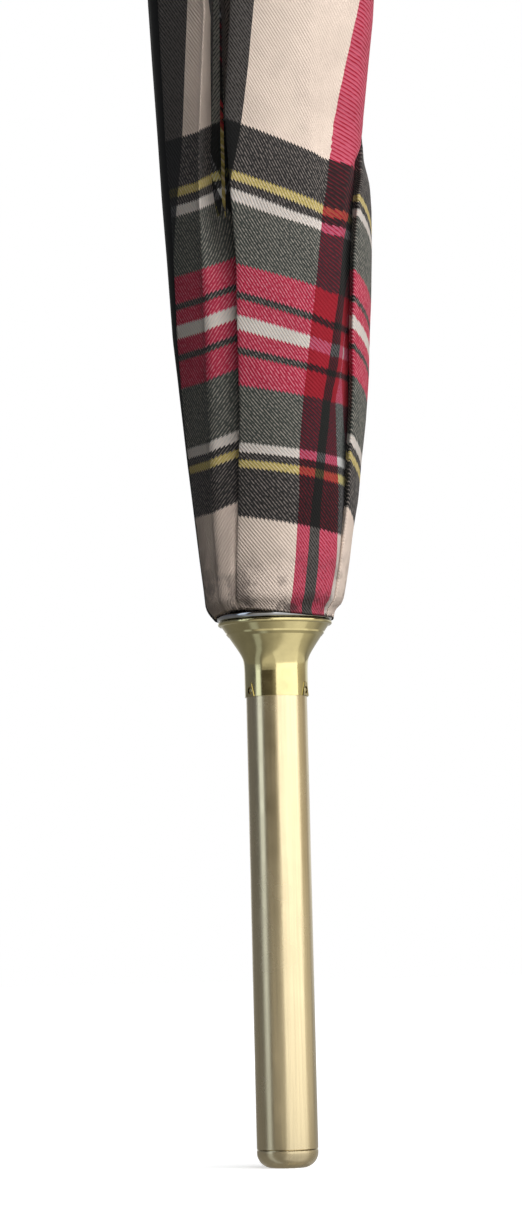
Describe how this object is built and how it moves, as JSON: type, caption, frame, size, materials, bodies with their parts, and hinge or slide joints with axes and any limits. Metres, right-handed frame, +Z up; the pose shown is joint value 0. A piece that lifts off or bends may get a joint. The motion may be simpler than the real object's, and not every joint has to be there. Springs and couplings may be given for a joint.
{
  "type": "stick umbrella",
  "caption": "Folded stick umbrella with a tartan canopy, ribs and stretchers on a sliding runner, catch springs, open brass cap, long ferrule and a wooden crook handle.",
  "frame": {"origin": "centre of the flat end of the tip, on the shaft's axis", "axes": "+Z up the shaft from the tip to the handle; +X the way the crook handle bends; the picture is taken from -Y"},
  "size_m": [0.1191, 0.049, 0.8887],
  "materials": {
    "shaft_tube": "polished",
    "ferrule_tube": "satin",
    "ferrule_tip": "satin",
    "crown_cap": "polished",
    "cap_pins": "polished",
    "crown_disc": "gloss",
    "notch": "satin",
    "notch_wire": "satin",
    "stop_pin": "satin",
    "spring_pins": "satin",
    "handle_crook": "gloss",
    "handle_collar": "polished",
    "handle_nose_cap": "polished",
    "handle_pin": "polished",
    "runner_crown": "satin",
    "runner_wire": "satin",
    "runner_sleeve": "polished",
    "hand_spring": "satin",
    "top_spring": "satin",
    "ribs": "satin",
    "rib_tips": "polished",
    "stretchers": "satin",
    "canopy": "matte",
    "tie_strap": "matte",
    "snap_cap": "polished"
  },
  "bodies": {
    "root": {"shaft_tube": "shaft_tube", "ferrule_tube": "ferrule_tube", "ferrule_tip": "ferrule_tip", "crown_cap": "crown_cap", "cap_pins": "cap_pins", "crown_disc": "crown_disc", "notch": "notch", "notch_wire": "notch_wire", "stop_pin": "stop_pin", "spring_pins": "spring_pins", "handle_crook": "handle_crook", "handle_collar": "handle_collar", "handle_nose_cap": "handle_nose_cap", "handle_pin": "handle_pin"},
    "runner": {"runner_crown": "runner_crown", "runner_wire": "runner_wire", "runner_sleeve": "runner_sleeve"},
    "hand_spring": {"hand_spring": "hand_spring"},
    "top_spring": {"top_spring": "top_spring"},
    "rib_1": {"rib_1": "ribs", "rib_tip_1": "rib_tips"},
    "stretcher_1": {"stretcher_1": "stretchers"},
    "gore_1": {"canopy_gore_1": "canopy", "tie_strap": "tie_strap", "snap_cap": "snap_cap"},
    "rib_2": {"rib_2": "ribs", "rib_tip_2": "rib_tips"},
    "stretcher_2": {"stretcher_2": "stretchers"},
    "gore_2": {"canopy_gore_2": "canopy"},
    "rib_3": {"rib_3": "ribs", "rib_tip_3": "rib_tips"},
    "stretcher_3": {"stretcher_3": "stretchers"},
    "gore_3": {"canopy_gore_3": "canopy"},
    "rib_4": {"rib_4": "ribs", "rib_tip_4": "rib_tips"},
    "stretcher_4": {"stretcher_4": "stretchers"},
    "gore_4": {"canopy_gore_4": "canopy"},
    "rib_5": {"rib_5": "ribs", "rib_tip_5": "rib_tips"},
    "stretcher_5": {"stretcher_5": "stretchers"},
    "gore_5": {"canopy_gore_5": "canopy"},
    "rib_6": {"rib_6": "ribs", "rib_tip_6": "rib_tips"},
    "stretcher_6": {"stretcher_6": "stretchers"},
    "gore_6": {"canopy_gore_6": "canopy"},
    "rib_7": {"rib_7": "ribs", "rib_tip_7": "rib_tips"},
    "stretcher_7": {"stretcher_7": "stretchers"},
    "gore_7": {"canopy_gore_7": "canopy"},
    "rib_8": {"rib_8": "ribs", "rib_tip_8": "rib_tips"},
    "stretcher_8": {"stretcher_8": "stretchers"},
    "gore_8": {"canopy_gore_8": "canopy"}
  },
  "joints": [
    {"name": "runner_slide", "type": "slide", "parent": "root", "child": "runner", "axis": [0, 0, -1], "range_m": [0, 0.26772], "deforming": ["canopy_gore_1", "canopy_gore_2", "canopy_gore_3", "canopy_gore_4", "canopy_gore_5", "canopy_gore_6", "canopy_gore_7", "canopy_gore_8", "tie_strap", "hand_spring", "top_spring"]},
    {"name": "hand_spring_press", "type": "hinge", "parent": "root", "child": "hand_spring", "pos_m": [0.00209, 0.00155, 0.7024], "axis": [0.5948, -0.8039, 0], "range_deg": [0, 5], "stiffness_Nm_per_rad": 2},
    {"name": "top_spring_press", "type": "hinge", "parent": "root", "child": "top_spring", "pos_m": [0.00209, 0.00155, 0.49357], "axis": [-0.5948, 0.8039, 0], "range_deg": [0, 5], "stiffness_Nm_per_rad": 2},
    {"name": "rib_1_hinge", "type": "hinge", "parent": "root", "child": "rib_1", "pos_m": [0.00728, 0.00181, 0.113], "axis": [-0.2419, 0.9703, 0], "range_deg": [0, 72]},
    {"name": "stretcher_1_hinge", "type": "hinge", "parent": "rib_1", "child": "stretcher_1", "pos_m": [0.00728, 0.00181, 0.358], "axis": [0.2419, -0.9703, 0], "range_deg": [0, 117.8]},
    {"name": "gore_1_hinge", "type": "hinge", "parent": "rib_1", "child": "gore_1", "pos_m": [0.00653, 0.00483, 0.113], "axis": [-0.9317, -0.3632, 0], "range_deg": [0, 42.69]},
    {"name": "rib_2_hinge", "type": "hinge", "parent": "root", "child": "rib_2", "pos_m": [0.00386, 0.00643, 0.113], "axis": [-0.8572, 0.515, 0], "range_deg": [0, 72]},
    {"name": "stretcher_2_hinge", "type": "hinge", "parent": "rib_2", "child": "stretcher_2", "pos_m": [0.00386, 0.00643, 0.358], "axis": [0.8572, -0.515, 0], "range_deg": [0, 117.8]},
    {"name": "gore_2_hinge", "type": "hinge", "parent": "rib_2", "child": "gore_2", "pos_m": [0.0012, 0.00803, 0.113], "axis": [-0.402, -0.9156, 0], "range_deg": [0, 42.69]},
    {"name": "rib_3_hinge", "type": "hinge", "parent": "root", "child": "rib_3", "pos_m": [-0.00181, 0.00728, 0.113], "axis": [-0.9703, -0.2419, 0], "range_deg": [0, 72]},
    {"name": "stretcher_3_hinge", "type": "hinge", "parent": "rib_3", "child": "stretcher_3", "pos_m": [-0.00181, 0.00728, 0.358], "axis": [0.9703, 0.2419, 0], "range_deg": [0, 117.8]},
    {"name": "gore_3_hinge", "type": "hinge", "parent": "rib_3", "child": "gore_3", "pos_m": [-0.00483, 0.00653, 0.113], "axis": [0.3632, -0.9317, 0], "range_deg": [0, 42.69]},
    {"name": "rib_4_hinge", "type": "hinge", "parent": "root", "child": "rib_4", "pos_m": [-0.00643, 0.00386, 0.113], "axis": [-0.515, -0.8572, 0], "range_deg": [0, 72]},
    {"name": "stretcher_4_hinge", "type": "hinge", "parent": "rib_4", "child": "stretcher_4", "pos_m": [-0.00643, 0.00386, 0.358], "axis": [0.515, 0.8572, 0], "range_deg": [0, 117.8]},
    {"name": "gore_4_hinge", "type": "hinge", "parent": "rib_4", "child": "gore_4", "pos_m": [-0.00803, 0.0012, 0.113], "axis": [0.9156, -0.402, 0], "range_deg": [0, 42.69]},
    {"name": "rib_5_hinge", "type": "hinge", "parent": "root", "child": "rib_5", "pos_m": [-0.00728, -0.00181, 0.113], "axis": [0.2419, -0.9703, 0], "range_deg": [0, 72]},
    {"name": "stretcher_5_hinge", "type": "hinge", "parent": "rib_5", "child": "stretcher_5", "pos_m": [-0.00728, -0.00181, 0.358], "axis": [-0.2419, 0.9703, 0], "range_deg": [0, 117.8]},
    {"name": "gore_5_hinge", "type": "hinge", "parent": "rib_5", "child": "gore_5", "pos_m": [-0.00653, -0.00483, 0.113], "axis": [0.9317, 0.3632, 0], "range_deg": [0, 42.69]},
    {"name": "rib_6_hinge", "type": "hinge", "parent": "root", "child": "rib_6", "pos_m": [-0.00386, -0.00643, 0.113], "axis": [0.8572, -0.515, 0], "range_deg": [0, 72]},
    {"name": "stretcher_6_hinge", "type": "hinge", "parent": "rib_6", "child": "stretcher_6", "pos_m": [-0.00386, -0.00643, 0.358], "axis": [-0.8572, 0.515, 0], "range_deg": [0, 117.8]},
    {"name": "gore_6_hinge", "type": "hinge", "parent": "rib_6", "child": "gore_6", "pos_m": [-0.0012, -0.00803, 0.113], "axis": [0.402, 0.9156, 0], "range_deg": [0, 42.69]},
    {"name": "rib_7_hinge", "type": "hinge", "parent": "root", "child": "rib_7", "pos_m": [0.00181, -0.00728, 0.113], "axis": [0.9703, 0.2419, 0], "range_deg": [0, 72]},
    {"name": "stretcher_7_hinge", "type": "hinge", "parent": "rib_7", "child": "stretcher_7", "pos_m": [0.00181, -0.00728, 0.358], "axis": [-0.9703, -0.2419, 0], "range_deg": [0, 117.8]},
    {"name": "gore_7_hinge", "type": "hinge", "parent": "rib_7", "child": "gore_7", "pos_m": [0.00483, -0.00653, 0.113], "axis": [-0.3632, 0.9317, 0], "range_deg": [0, 42.69]},
    {"name": "rib_8_hinge", "type": "hinge", "parent": "root", "child": "rib_8", "pos_m": [0.00643, -0.00386, 0.113], "axis": [0.515, 0.8572, 0], "range_deg": [0, 72]},
    {"name": "stretcher_8_hinge", "type": "hinge", "parent": "rib_8", "child": "stretcher_8", "pos_m": [0.00643, -0.00386, 0.358], "axis": [-0.515, -0.8572, 0], "range_deg": [0, 117.8]},
    {"name": "gore_8_hinge", "type": "hinge", "parent": "rib_8", "child": "gore_8", "pos_m": [0.00803, -0.0012, 0.113], "axis": [-0.9156, 0.402, 0], "range_deg": [0, 42.69]}
  ],
  "couplings": [
    {"joint": "rib_1_hinge", "follows": "runner_slide", "rad_per_m": 4.6938},
    {"joint": "stretcher_1_hinge", "follows": "runner_slide", "rad_per_m": 7.6797},
    {"joint": "gore_1_hinge", "follows": "runner_slide", "rad_per_m": 2.7828},
    {"joint": "rib_2_hinge", "follows": "runner_slide", "rad_per_m": 4.6938},
    {"joint": "stretcher_2_hinge", "follows": "runner_slide", "rad_per_m": 7.6797},
    {"joint": "gore_2_hinge", "follows": "runner_slide", "rad_per_m": 2.7828},
    {"joint": "rib_3_hinge", "follows": "runner_slide", "rad_per_m": 4.6938},
    {"joint": "stretcher_3_hinge", "follows": "runner_slide", "rad_per_m": 7.6797},
    {"joint": "gore_3_hinge", "follows": "runner_slide", "rad_per_m": 2.7828},
    {"joint": "rib_4_hinge", "follows": "runner_slide", "rad_per_m": 4.6938},
    {"joint": "stretcher_4_hinge", "follows": "runner_slide", "rad_per_m": 7.6797},
    {"joint": "gore_4_hinge", "follows": "runner_slide", "rad_per_m": 2.7828},
    {"joint": "rib_5_hinge", "follows": "runner_slide", "rad_per_m": 4.6938},
    {"joint": "stretcher_5_hinge", "follows": "runner_slide", "rad_per_m": 7.6797},
    {"joint": "gore_5_hinge", "follows": "runner_slide", "rad_per_m": 2.7828},
    {"joint": "rib_6_hinge", "follows": "runner_slide", "rad_per_m": 4.6938},
    {"joint": "stretcher_6_hinge", "follows": "runner_slide", "rad_per_m": 7.6797},
    {"joint": "gore_6_hinge", "follows": "runner_slide", "rad_per_m": 2.7828},
    {"joint": "rib_7_hinge", "follows": "runner_slide", "rad_per_m": 4.6938},
    {"joint": "stretcher_7_hinge", "follows": "runner_slide", "rad_per_m": 7.6797},
    {"joint": "gore_7_hinge", "follows": "runner_slide", "rad_per_m": 2.7828},
    {"joint": "rib_8_hinge", "follows": "runner_slide", "rad_per_m": 4.6938},
    {"joint": "stretcher_8_hinge", "follows": "runner_slide", "rad_per_m": 7.6797},
    {"joint": "gore_8_hinge", "follows": "runner_slide", "rad_per_m": 2.7828}
  ]
}
